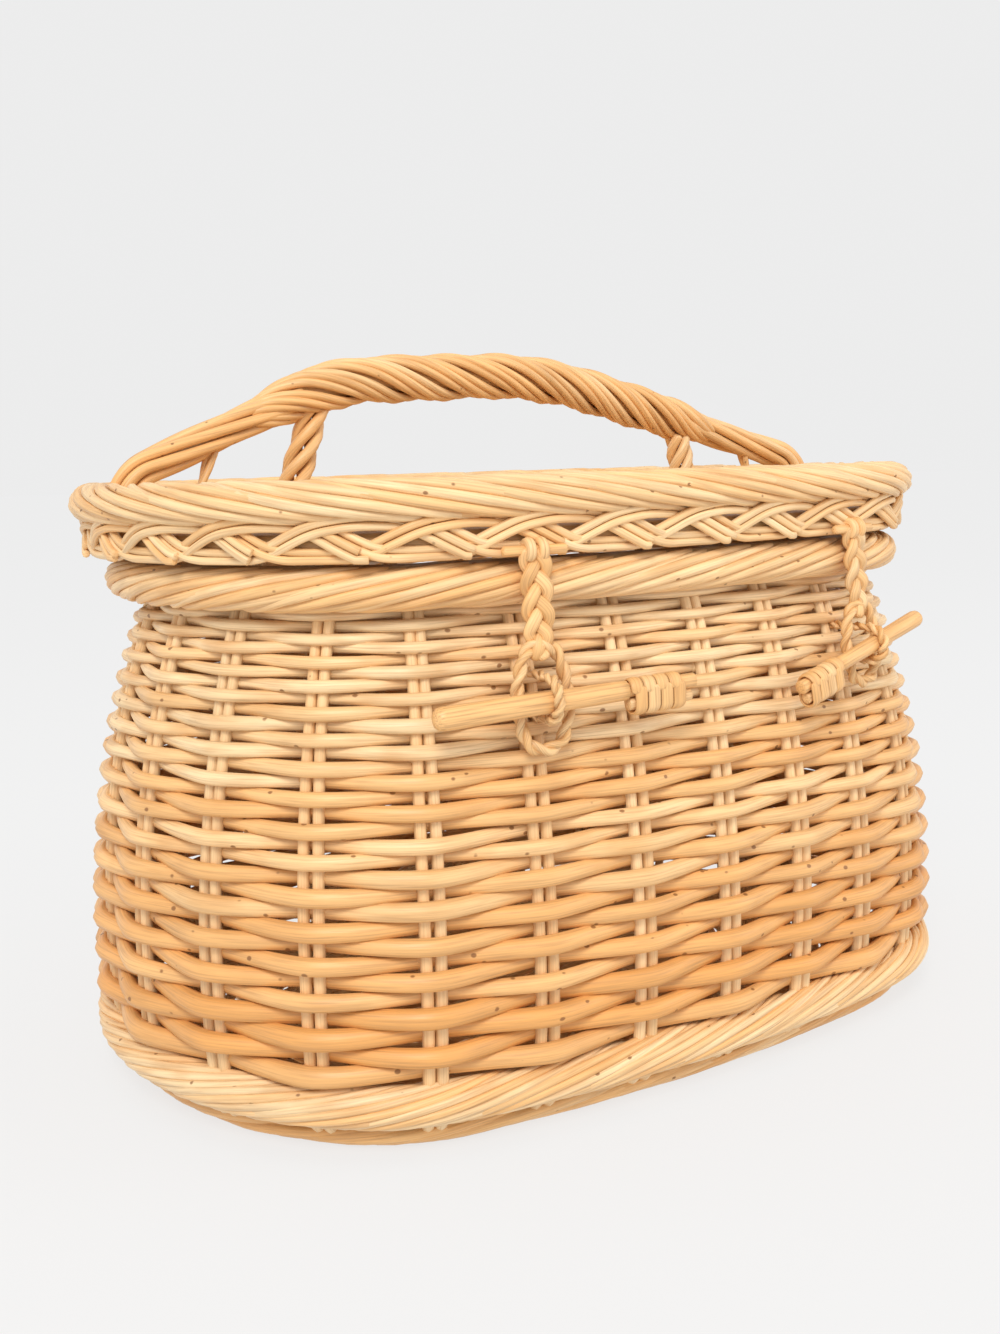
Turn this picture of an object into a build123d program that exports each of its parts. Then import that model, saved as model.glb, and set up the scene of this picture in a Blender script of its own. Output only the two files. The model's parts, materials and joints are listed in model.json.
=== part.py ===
from build123d import *
import math
import os

os.makedirs("parts", exist_ok=True)

# Lidded oval willow basket. Millimetres. Z is up from the ground, X runs along the basket,
# -Y is the front, where the two hasps and pegs are, and the lid's hinges are at the back.
# "Offset" is always measured square to the oval outline, outwards.

# ---- plan outline: the line of the side stakes at the belly, an oval of eight tangent arcs
HALF_LENGTH = 188.0
HALF_WIDTH = 130.0
CORNER_RADIUS = 83.0
END_TURN = math.radians(44.0)
SIDE_TURN = math.radians(80.0)

# ---- upright profile: the wall is one arc of a barrel, widest at the belly
BELLY_HEIGHT = 66.0
BARREL_RADIUS = 370.0
WALE_BASE = 11.0
SIDING_BASE = 27.0
SIDING_BREAKS = (70.0, 111.0, 151.0)
NECK_HEIGHT = 191.0
WALL_HALF_LOW = 8.0
WALL_HALF_HIGH = 5.0

# ---- side stakes, in pairs
STAKE_PAIRS = 26
STAKE_RADIUS = 2.0
STAKE_SPACING = 4.6
FIRST_STAKE = -15.4
STAKE_WANDER = 5.3
WANDER_PHASE = 7.25
STAKE_TAIL = 34.0
STAKE_BEND = 9.0
STAKE_INTO_RIM = 8.0
CHANNEL_CLEARANCE = 0.25
END_STRETCH = math.radians(59.0)

# ---- base
BASE_EDGE_OUT = -6.5
BASE_EDGE_WIDTH = 17.5
BASE_LIFT = 1.5
BASE_THICKNESS = 11.0
BASE_CORNER = 4.0
BASE_STICKS = 9
BASE_STICK_STEP = 30.0
BASE_STICK_RADIUS = 4.5
BASE_LONG_RADIUS = 3.0
BASE_LONG_STEP = 22.0
BASE_LONG_STICKS = 3
STICK_INSET = 58.0
STICK_CLEARANCE = 0.1

# ---- rim border of the body
RIM_OUT = -3.8
RIM_WIDTH = 22.0
RIM_HEIGHT = 17.0
RIM_CORNER = 5.0

# ---- lid
LID_GAP = 0.5
LID_SHIFT = 5.5
PLAIT_OUT = 5.0
PLAIT_WIDTH = 19.0
PLAIT_HEIGHT = 13.0
PLAIT_CORNER = 4.0
ROPE_OUT = 8.0
ROPE_WIDTH = 20.0
ROPE_HEIGHT = 17.0
ROPE_CORNER = 6.0
LID_PANEL_THICKNESS = 10.0
LID_PANEL_LIFT = 2.0
LID_STICKS = 7
LID_STICK_STEP = 30.0
LID_STICK_RADIUS = 4.0
LID_LONG_RADIUS = 2.8
LID_LONG_SPREAD = 15.0

# ---- lid hinges
HINGE_SPREAD = 42.0
HINGE_INSET = 0.0
HINGE_ROD_RADIUS = 3.6
HINGE_ROD_LENGTH = 30.0
HINGE_LOOP_WIRE = 2.2
HINGE_CLEARANCE = 0.3

# ---- handle on the lid: a long low bow whose ends turn down into the borders at the lid's tips
HANDLE_FOOT = 181.0
HANDLE_KNEE_RISE = 1.5
HANDLE_KNEE_RADIUS = 18.0
HANDLE_LEFT_SHOULDER = (-88.0, 41.5)
HANDLE_LEFT_RADIUS = 120.0
HANDLE_CREST = (20.0, 44.5)
HANDLE_CREST_RADIUS = 220.0
HANDLE_CORE_RADIUS = 4.5
HANDLE_ROPE_RADIUS = 10.5
HANDLE_LEG_RADIUS = 7.5
ROPE_LEFT_END = -122.0
ROPE_RIGHT_END = 118.0
INNER_LEG_RADIUS = 5.5
SIDE_ROD_RADIUS = 3.0
LEFT_INNER_LEG = (-116.0, -97.0)
RIGHT_INNER_LEG = (107.0, 101.0)
LEFT_SIDE_ROD = (-157.0, -136.0)
RIGHT_SIDE_ROD = (154.0, 137.0)

# ---- hasps, staples and pegs; the two sides differ, as hand work does
HASP_PIN_OUT = -1.0
HASP_PIN_RADIUS = 2.0
HASP_PIN_LENGTH = 24.0
HASP_PIN_CLEARANCE = 0.2
HASP_PIN_RISE = 2.5
KNUCKLE_ROOM = 1.0
HASP_LEAN = math.radians(3.6)
BRAID_WIDTH = 14.0
BRAID_THICKNESS = 5.6
KNUCKLE_RADIUS = 4.0
KNUCKLE_WIDTH = 10.0
EYE_WIDTH = 26.0
EYE_WIRE = 2.8
STAPLE_WIRE = 2.4
STAPLE_ROOM = 0.8
PEG_GAP = 0.3
PEG_TAPER = 0.85
PEG_NOSE = 0.8
PEG_NOSE_BULGE = (0.24, 0.71)
PEG_TAIL_RADIUS = 2.7
SPLINT_RADIUS = 2.3
SPLINT_INSET = (1.0, 2.0)
WRAP_START = 1.5
WRAP_TURNS = 4
WRAP_PITCH = 5.4
WRAP_BREADTH = 4.6
WRAP_SKIN = 1.3
# "hasp" and "eye" are lengths down from the pin, "head" is the end the peg slides out by (+1 is
# with the stake numbering), "reach", "step" and "tail" are lengths along the peg, "tilt" its slope.
CLOSURES = {
    "left": {
        "pair": 5,
        "hasp": 74.0,
        "eye": 43.0,
        "peg": 4.3,
        "head": 1,
        "reach": 45.0,
        "step": 30.0,
        "tail": 29.0,
        "tilt": 2.5,
    },
    "right": {
        "pair": 9,
        "hasp": 67.0,
        "eye": 38.0,
        "peg": 3.6,
        "head": -1,
        "reach": 34.0,
        "step": 26.0,
        "tail": 25.0,
        "tilt": 14.0,
    },
}

# ---- heights that follow
RIM_TOP = NECK_HEIGHT + RIM_HEIGHT
LID_BASE = RIM_TOP + LID_GAP
ROPE_BASE = LID_BASE + PLAIT_HEIGHT
LID_TOP = ROPE_BASE + ROPE_HEIGHT
PANEL_BASE = LID_BASE + LID_PANEL_LIFT
PANEL_TOP = PANEL_BASE + LID_PANEL_THICKNESS
HINGE_Z = RIM_TOP + LID_GAP / 2
HINGE_Y = HALF_WIDTH - HINGE_INSET
HASP_PIN_Z = LID_BASE + HASP_PIN_RISE


# ------------------------------------------------------------------ outline

def outline_arcs():
    """Arcs of the outline from the left tip, counter-clockwise, as (start, end, centre, radius)."""
    c1, s1 = math.cos(END_TURN), math.sin(END_TURN)
    c2, s2 = math.cos(SIDE_TURN), math.sin(SIDE_TURN)
    along = HALF_LENGTH - CORNER_RADIUS * (c1 - c2)
    across = HALF_WIDTH - CORNER_RADIUS * (s2 - s1)
    divisor = (1 - c1) * (1 - s2) - c2 * s1
    end_radius = (along * (1 - s2) - c2 * across) / divisor
    side_radius = ((1 - c1) * across - s1 * along) / divisor
    end_x = HALF_LENGTH - end_radius
    corner_x = end_x + (end_radius - CORNER_RADIUS) * c1
    corner_y = (end_radius - CORNER_RADIUS) * s1
    side_y = HALF_WIDTH - side_radius
    half = math.pi
    return [
        (-half, END_TURN - half, (-end_x, 0), end_radius),
        (END_TURN - half, SIDE_TURN - half, (-corner_x, -corner_y), CORNER_RADIUS),
        (SIDE_TURN - half, -SIDE_TURN, (0, -side_y), side_radius),
        (-SIDE_TURN, -END_TURN, (corner_x, -corner_y), CORNER_RADIUS),
        (-END_TURN, END_TURN, (end_x, 0), end_radius),
        (END_TURN, SIDE_TURN, (corner_x, corner_y), CORNER_RADIUS),
        (SIDE_TURN, half - SIDE_TURN, (0, side_y), side_radius),
        (half - SIDE_TURN, half - END_TURN, (-corner_x, corner_y), CORNER_RADIUS),
        (half - END_TURN, half, (-end_x, 0), end_radius),
    ]


ARCS = outline_arcs()
PERIMETER = sum((end - start) * radius for start, end, centre, radius in ARCS)


def outline_at(distance):
    """Point on the outline and the angle of its outward normal, at a distance from the left tip."""
    left = distance % PERIMETER
    for start, end, centre, radius in ARCS:
        length = (end - start) * radius
        if left <= length:
            break
        left -= length
    angle = start + left / radius
    point = (centre[0] + radius * math.cos(angle), centre[1] + radius * math.sin(angle))
    return point, angle


def half_width_at(x, offset):
    """Half-width of the offset oval at a distance x from the middle."""
    low, high = 0.0, math.pi / 2
    for step in range(50):
        angle = (low + high) / 2
        start, end, centre, radius = [arc for arc in ARCS[4:7] if arc[0] <= angle <= arc[1]][0]
        if centre[0] + (radius + offset) * math.cos(angle) > abs(x):
            low = angle
        else:
            high = angle
    return centre[1] + (radius + offset) * math.sin(angle)


def barrel(z):
    """Offset of the stake line from the outline at height z."""
    return math.sqrt(BARREL_RADIUS ** 2 - (z - BELLY_HEIGHT) ** 2) - BARREL_RADIUS


def wall_half(z):
    """Half the wall's thickness at height z: thick rods low down, thin ones at the neck."""
    share = (z - SIDING_BASE) / (NECK_HEIGHT - SIDING_BASE)
    return WALL_HALF_LOW + (WALL_HALF_HIGH - WALL_HALF_LOW) * share


# ------------------------------------------------------------------ shapes on the outline

def ring(section):
    """Solid ring: a section drawn as (offset, height), carried round the oval."""
    pieces = []
    for start, end, centre, radius in ARCS:
        plane = Plane(
            origin=(centre[0], centre[1], 0),
            x_dir=(math.cos(start), math.sin(start), 0),
            z_dir=(math.sin(start), -math.cos(start), 0),
        )
        face = plane * Pos(radius, 0) * section
        axis = Axis((centre[0], centre[1], 0), (0, 0, 1))
        pieces.append(revolve(face, axis=axis, revolution_arc=math.degrees(end - start)))
    return pieces[0].fuse(*pieces[1:]).clean()


def block_section(out, width, base, height, corner):
    """Rounded block section for a border ring, given by its outer offset and its base."""
    return Pos(out - width / 2, base + height / 2) * RectangleRounded(width, height, corner)


def wall_section(low, high):
    """Section of a siding band between two heights, both faces following the barrel."""
    middle = (low + high) / 2
    outer = [(barrel(z) + wall_half(z), z) for z in (low, middle, high)]
    inner = [(barrel(z) - wall_half(z), z) for z in (high, middle, low)]
    edges = [
        ThreePointArc(*outer),
        Line(outer[2], inner[0]),
        ThreePointArc(*inner),
        Line(inner[2], outer[0]),
    ]
    return make_face(edges)


def oval_plate(offset, base, height):
    """Flat oval plate bounded by the offset outline."""
    edges = []
    for start, end, centre, radius in ARCS:
        arc = CenterArc(centre, radius + offset, math.degrees(start), math.degrees(end - start))
        edges.append(arc)
    return Pos(0, 0, base) * extrude(make_face(edges), height)


def tube(path, section):
    """Sweep a section, drawn square to the path's start, along a smooth path."""
    return sweep(Plane(origin=path @ 0, z_dir=path % 0) * section, path=path)


def rod(start, end, radius):
    """Straight round rod between two points."""
    line = Line(start, end)
    return tube(line, Circle(radius))


def only_solids(shape):
    """The shape's solids as one group."""
    return Compound(children=list(shape.solids()))


def cut(shape, *tools):
    """Take tools away from a shape."""
    flat = []
    for tool in tools:
        flat.extend(tool.solids())
    return only_solids(shape.cut(*flat))


# ------------------------------------------------------------------ side stakes

def stake_distance(pair):
    """Distance of a stake pair round the outline; the hand-set spacing wanders a little."""
    turn = 4 * math.pi * (pair - WANDER_PHASE) / STAKE_PAIRS
    return FIRST_STAKE + pair * PERIMETER / STAKE_PAIRS + STAKE_WANDER * math.cos(turn)


def wall_frame(pair):
    """Frame on the outline at a stake pair: x along the wall, y inwards, z up."""
    point, angle = outline_at(stake_distance(pair))
    along = (-math.sin(angle), math.cos(angle), 0)
    return Plane(origin=(point[0], point[1], 0), x_dir=along, z_dir=(0, 0, 1))


def stake_path():
    """A stake's line in its own upright plane, x outwards: out of the base, up the barrel wall."""
    tail_z = BASE_LIFT + BASE_THICKNESS / 2
    centre_z = tail_z + STAKE_BEND
    reach = BARREL_RADIUS - STAKE_BEND
    centre_x = math.sqrt(reach ** 2 - (centre_z - BELLY_HEIGHT) ** 2) - BARREL_RADIUS
    lean = math.asin((centre_z - BELLY_HEIGHT) / reach)
    top = math.asin((NECK_HEIGHT + STAKE_INTO_RIM - BELLY_HEIGHT) / BARREL_RADIUS)
    tail = Line((centre_x - STAKE_TAIL, tail_z), (centre_x, tail_z))
    bend = CenterArc((centre_x, centre_z), STAKE_BEND, -90, 90 + math.degrees(lean))
    rise = CenterArc(
        (-BARREL_RADIUS, BELLY_HEIGHT), BARREL_RADIUS, math.degrees(lean), math.degrees(top - lean)
    )
    return Wire([tail.edge(), bend.edge(), rise.edge()])


STAKE_LINE = Plane(origin=(0, 0, 0), x_dir=(0, -1, 0), z_dir=(-1, 0, 0)) * stake_path()
STAKE = tube(STAKE_LINE, Circle(STAKE_RADIUS))
CHANNEL_BREADTH = STAKE_SPACING + 2 * (STAKE_RADIUS + CHANNEL_CLEARANCE)
CHANNEL = tube(
    STAKE_LINE,
    Rot(0, 0, 90) * SlotOverall(CHANNEL_BREADTH, 2 * (STAKE_RADIUS + CHANNEL_CLEARANCE)),
)


def stake_pair(pair):
    """The two rods of one pair, side by side."""
    frame = wall_frame(pair)
    return [frame * Pos(side * STAKE_SPACING / 2, 0, 0) * STAKE for side in (-1, 1)]


def stakes_between(pairs):
    """Group of the stake pairs with the given numbers."""
    rods = []
    for pair in pairs:
        for stake in stake_pair(pair):
            rods.extend(stake.solids())
    return Compound(children=rods)


def stake_groups():
    """The pairs sorted into four stretches of wall by the way their normals point."""
    groups = {"front": [], "right_end": [], "back": [], "left_end": []}
    for pair in range(STAKE_PAIRS):
        point, angle = outline_at(stake_distance(pair))
        if abs(math.cos(angle)) > math.cos(END_STRETCH):
            groups["right_end" if math.cos(angle) > 0 else "left_end"].append(pair)
        else:
            groups["back" if math.sin(angle) > 0 else "front"].append(pair)
    return groups


def channels():
    """Room for every stake pair, as tools to cut from what they pass through."""
    return [wall_frame(pair) * CHANNEL for pair in range(STAKE_PAIRS)]


# ------------------------------------------------------------------ base

def stick_places(count, step):
    """Evenly spaced places either side of the middle."""
    return [(index - (count - 1) / 2) * step for index in range(count)]


def cross_sticks(count, step, radius, inset, z, shift):
    """Thick sticks across the oval, ending inside its edge."""
    sticks = []
    for x in stick_places(count, step):
        reach = half_width_at(x, -inset)
        sticks.append(rod((x, shift - reach, z), (x, shift + reach, z), radius))
    return sticks


def long_sticks(places, radius, inset, z, shift):
    """Thinner sticks along the oval, threaded through the cross sticks."""
    reach = HALF_LENGTH - inset
    return [rod((-reach, shift + y, z), (reach, shift + y, z), radius) for y in places]


def stick_frame(count, step, radius, places, long_radius, inset, z, shift):
    """Pierced cross sticks, the long sticks through them, and the room both take in the weave."""
    across = cross_sticks(count, step, radius, inset, z, shift)
    along = long_sticks(places, long_radius, inset, z, shift)
    piercing = long_sticks(places, long_radius + STICK_CLEARANCE, inset - 1, z, shift)
    pierced = [cut(stick, *piercing) for stick in across]
    room = cross_sticks(count, step, radius + STICK_CLEARANCE, inset - STICK_CLEARANCE, z, shift)
    return pierced, along, room + piercing


# ------------------------------------------------------------------ handle

def handle_path():
    """The bow of the handle in the lid's middle plane, from the left foot to the right one."""
    low = PANEL_BASE
    knee = LID_TOP + HANDLE_KNEE_RISE
    points = [
        (-HANDLE_FOOT, low),
        (-HANDLE_FOOT, knee),
        (HANDLE_LEFT_SHOULDER[0], LID_TOP + HANDLE_LEFT_SHOULDER[1]),
        (HANDLE_CREST[0], LID_TOP + HANDLE_CREST[1]),
        (HANDLE_FOOT, knee),
        (HANDLE_FOOT, low),
    ]
    radii = [HANDLE_KNEE_RADIUS, HANDLE_LEFT_RADIUS, HANDLE_CREST_RADIUS, HANDLE_KNEE_RADIUS]
    upright = Plane(origin=(0, LID_SHIFT, 0), x_dir=(1, 0, 0), z_dir=(0, -1, 0))
    return upright * FilletPolyline(*points, radius=radii)


def slab(left, right):
    """Tall block above the lid's plait between two places along X, to keep one stretch of the bow."""
    high = LID_TOP + 2 * HANDLE_CREST[1]
    middle = ((left + right) / 2, LID_SHIFT, (ROPE_BASE + high) / 2)
    return Pos(*middle) * Box(right - left, 2 * HALF_WIDTH, high - ROPE_BASE)


def leaning_rod(feet, radius):
    """Rod from a foot in the lid up to the bow above it."""
    foot_x, head_x = feet
    head_z = LID_TOP + HANDLE_CREST[1]
    return rod((foot_x, LID_SHIFT, PANEL_BASE), (head_x, LID_SHIFT, head_z), radius)


def below_bow(leg, bow_room):
    """The part of a leg under the bow."""
    rest = leg.cut(*bow_room.solids())
    solids = sorted(rest.solids(), key=lambda solid: solid.bounding_box().min.Z)
    return solids[0]


# ------------------------------------------------------------------ closures

def hasp_frame(pair):
    """Frame at a hasp's pin, tilted so that its z runs up the hasp."""
    pin = Pos(0, -HASP_PIN_OUT, HASP_PIN_Z) * Rot(-math.degrees(HASP_LEAN), 0, 0)
    return wall_frame(pair).location * pin


def hasp_braid(spec):
    """Flat braid with a knuckle round the pin."""
    length = spec["hasp"] - spec["eye"]
    knuckle = Rot(0, 90, 0) * Cylinder(KNUCKLE_RADIUS, KNUCKLE_WIDTH)
    strap = Pos(0, 0, -length) * extrude(Ellipse(BRAID_WIDTH / 2, BRAID_THICKNESS / 2), length)
    bore = Rot(0, 90, 0) * Cylinder(HASP_PIN_RADIUS + HASP_PIN_CLEARANCE, 2 * BRAID_WIDTH)
    return cut(knuckle.fuse(strap), bore)


def hasp_eye(spec):
    """Long eye of round twist below the braid."""
    bend = EYE_WIDTH / 2 - EYE_WIRE
    half = spec["eye"] / 2 - EYE_WIRE - bend
    centre = -(spec["hasp"] - spec["eye"] / 2)
    loop = [
        Line((-bend, centre + half), (-bend, centre - half)),
        CenterArc((0, centre - half), bend, 180, 180),
        Line((bend, centre - half), (bend, centre + half)),
        CenterArc((0, centre + half), bend, 0, 180),
    ]
    upright = Plane(origin=(0, 0, 0), x_dir=(1, 0, 0), z_dir=(0, -1, 0))
    parts = [tube(upright * piece, Circle(EYE_WIRE)) for piece in loop]
    return parts[0].fuse(*parts[1:])


def peg_height(spec):
    """Height of the staple and the peg: the middle of the hasp's eye."""
    return HASP_PIN_Z - (spec["hasp"] - spec["eye"] / 2) * math.cos(HASP_LEAN)


def peg_out(spec):
    """Offset of the peg's axis: in front of the hasp's eye."""
    drop = (spec["hasp"] - spec["eye"] / 2) * math.sin(HASP_LEAN)
    return HASP_PIN_OUT + drop + EYE_WIRE + PEG_GAP + spec["peg"]


def staple_bend(spec):
    """Radius of the staple's bend round the peg."""
    return spec["peg"] + STAPLE_ROOM + STAPLE_WIRE


def staple(spec):
    """Bent loop that stands out of the wall, through the hasp's eye and round the peg."""
    z = peg_height(spec)
    bend = staple_bend(spec)
    root = barrel(z - bend - STAPLE_WIRE) + STAKE_RADIUS + 2 * CHANNEL_CLEARANCE
    out = peg_out(spec)
    upright = Plane(origin=(0, 0, 0), x_dir=(0, -1, 0), z_dir=(-1, 0, 0))
    loop = [
        Line((root, z + bend), (out, z + bend)),
        CenterArc((out, z), bend, 90, -180),
        Line((out, z - bend), (root, z - bend)),
    ]
    parts = [tube(upright * piece, Circle(STAPLE_WIRE)) for piece in loop]
    return parts[0].fuse(*parts[1:])


def staple_room(spec):
    """Holes for the staple's two legs in the siding."""
    z = peg_height(spec)
    root = barrel(z) + STAKE_RADIUS
    out = peg_out(spec)
    holes = []
    for leg_z in (z - staple_bend(spec), z + staple_bend(spec)):
        hole = rod((0, -root, leg_z), (0, -out, leg_z), STAPLE_WIRE + CHANNEL_CLEARANCE)
        holes.append(wall_frame(spec["pair"]) * hole)
    return holes


def peg_frame(spec):
    """Frame on a peg's axis, x towards its bound end."""
    turn = 0 if spec["head"] > 0 else 180
    spot = Pos(0, -peg_out(spec), peg_height(spec)) * Rot(0, 0, turn)
    lean = -spec["tilt"] if spec["head"] > 0 else spec["tilt"]
    return wall_frame(spec["pair"]).location * spot * Rot(0, lean, 0)


def peg_shaft(spec):
    """Whittled peg: rounded free end, a step, and a thin tail for the binding."""
    reach, step, tail, radius = spec["reach"], spec["step"], spec["tail"], spec["peg"]
    nose = radius * PEG_NOSE
    bulge_x, bulge_r = PEG_NOSE_BULGE
    bulge = (-reach + radius * bulge_x, radius * bulge_r)
    shoulder = (-reach + nose, radius)
    waist = (step, radius * PEG_TAPER)
    outline = [
        ThreePointArc((-reach, 0), bulge, shoulder),
        Line(shoulder, waist),
        Line(waist, (step, PEG_TAIL_RADIUS)),
        Line((step, PEG_TAIL_RADIUS), (step + tail, PEG_TAIL_RADIUS)),
        Line((step + tail, PEG_TAIL_RADIUS), (step + tail, 0)),
        Line((step + tail, 0), (-reach, 0)),
    ]
    return revolve(make_face(outline), axis=Axis.X)


def peg_splint(spec):
    """Short rod bound beside the peg's tail."""
    drop = PEG_TAIL_RADIUS + SPLINT_RADIUS + CHANNEL_CLEARANCE
    start = spec["step"] + SPLINT_INSET[0]
    end = spec["step"] + spec["tail"] - SPLINT_INSET[1]
    return rod((start, 0, -drop), (end, 0, -drop), SPLINT_RADIUS)


def peg_binding(spec):
    """Turns of flat skein round the tail and the splint."""
    span = PEG_TAIL_RADIUS + SPLINT_RADIUS + CHANNEL_CLEARANCE
    room = PEG_TAIL_RADIUS + CHANNEL_CLEARANCE
    skin = room + WRAP_SKIN
    face = SlotCenterToCenter(span, 2 * skin) - SlotCenterToCenter(span, 2 * room)
    turns = []
    for index in range(WRAP_TURNS):
        x = spec["step"] + WRAP_START + index * WRAP_PITCH
        place = Plane(origin=(x, 0, -span / 2), x_dir=(0, 0, 1), z_dir=(1, 0, 0))
        turns.extend((place * extrude(face, WRAP_BREADTH)).solids())
    return Compound(children=turns)


# ------------------------------------------------------------------ hinges

def at_hinges(shape):
    """A shape at both hinges, its z along the hinge axis."""
    places = [Pos(side * HINGE_SPREAD, HINGE_Y, HINGE_Z) * Rot(0, 90, 0) for side in (-1, 1)]
    return [place * shape for place in places]


def hinge_loops(growth):
    """Lashed willow loops round the hinge rods, through the body's rim border."""
    turn = HINGE_ROD_RADIUS + HINGE_CLEARANCE + HINGE_LOOP_WIRE
    return at_hinges(Torus(turn, HINGE_LOOP_WIRE + growth))


# ------------------------------------------------------------------ sub-parts

def write(name, *shapes):
    """Write one sub-part's solids to its own file."""
    solids = [solid for shape in shapes for solid in shape.solids()]
    part = solids[0] if len(solids) == 1 else Compound(children=solids)
    export_step(part, os.path.join("parts", name + ".step"))


def build_base(stake_room):
    """Sticks, weave and the wale round the edge of the bottom."""
    pierced, threaded, room = stick_frame(
        BASE_STICKS,
        BASE_STICK_STEP,
        BASE_STICK_RADIUS,
        stick_places(BASE_LONG_STICKS, BASE_LONG_STEP),
        BASE_LONG_RADIUS,
        STICK_INSET,
        BASE_LIFT + BASE_THICKNESS / 2,
        0,
    )
    write("base_cross_sticks", *pierced)
    write("base_long_sticks", *threaded)
    plate = oval_plate(BASE_EDGE_OUT - BASE_EDGE_WIDTH, BASE_LIFT, BASE_THICKNESS)
    write("base_weave", cut(plate, *room, *stake_room))
    edge = ring(block_section(BASE_EDGE_OUT, BASE_EDGE_WIDTH, 0, WALE_BASE, BASE_CORNER))
    write("base_edge_wale", cut(edge, *stake_room))


def build_wall(stake_room):
    """Stakes, the upsett wale and the four bands of siding."""
    for group, pairs in stake_groups().items():
        write("side_stakes_" + group, stakes_between(pairs))
    breadth = 2 * WALL_HALF_LOW - 2
    out = barrel((WALE_BASE + SIDING_BASE) / 2) + breadth / 2
    section = block_section(out, breadth, WALE_BASE, SIDING_BASE - WALE_BASE, BASE_CORNER)
    write("upsett_wale", cut(ring(section), *stake_room))
    staple_holes = [hole for spec in CLOSURES.values() for hole in staple_room(spec)]
    levels = (SIDING_BASE,) + SIDING_BREAKS + (NECK_HEIGHT,)
    for name, low, high in zip(("lower", "belly", "upper", "neck"), levels[:-1], levels[1:]):
        band = ring(wall_section(low, high))
        write("siding_" + name, cut(band, *stake_room, *staple_holes))


def build_rim(stake_room):
    """Rim border of the body with the two loops of the lid's hinges."""
    rim = ring(block_section(RIM_OUT, RIM_WIDTH, NECK_HEIGHT, RIM_HEIGHT, RIM_CORNER))
    rod_room = at_hinges(Cylinder(HINGE_ROD_RADIUS + HINGE_CLEARANCE, HINGE_ROD_LENGTH + 2))
    loop_room = hinge_loops(CHANNEL_CLEARANCE)
    write("body_rim_border", cut(rim, *stake_room, *rod_room, *loop_room))
    for name, loop in zip(("left", "right"), hinge_loops(0)):
        write(name + "_hinge_loop", loop)


def build_handle():
    """Bow, rope, leg bundles and sub-legs; returns the room the lid leaves for them."""
    line = handle_path()
    core = tube(line, Circle(HANDLE_CORE_RADIUS))
    core_room = tube(line, Circle(HANDLE_CORE_RADIUS + STICK_CLEARANCE))
    rope_room = tube(line, Circle(HANDLE_ROPE_RADIUS + STICK_CLEARANCE))
    leg_room = tube(line, Circle(HANDLE_LEG_RADIUS + STICK_CLEARANCE))
    rope = tube(line, Circle(HANDLE_ROPE_RADIUS))
    bundle = tube(line, Circle(HANDLE_LEG_RADIUS))
    middle = slab(ROPE_LEFT_END, ROPE_RIGHT_END)
    write("handle_core_bow", core)
    write("handle_rope", cut(only_solids(rope.intersect(middle)), core_room))
    for name, left, right in (
        ("left", -2 * HALF_LENGTH, ROPE_LEFT_END),
        ("right", ROPE_RIGHT_END, 2 * HALF_LENGTH),
    ):
        leg = only_solids(bundle.intersect(slab(left, right)))
        write("handle_" + name + "_leg_bundle", cut(leg, core_room))
    under_rope = only_solids(rope_room.intersect(middle))
    foot_room = []
    for name, feet, radius, above in (
        ("left_inner_leg", LEFT_INNER_LEG, INNER_LEG_RADIUS, under_rope),
        ("right_inner_leg", RIGHT_INNER_LEG, INNER_LEG_RADIUS, under_rope),
        ("left_side_rod", LEFT_SIDE_ROD, SIDE_ROD_RADIUS, leg_room),
        ("right_side_rod", RIGHT_SIDE_ROD, SIDE_ROD_RADIUS, leg_room),
    ):
        write("handle_" + name, below_bow(leaning_rod(feet, radius), above))
        foot_room.append(leaning_rod(feet, radius + STICK_CLEARANCE))
    return core_room, leg_room, foot_room


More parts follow.
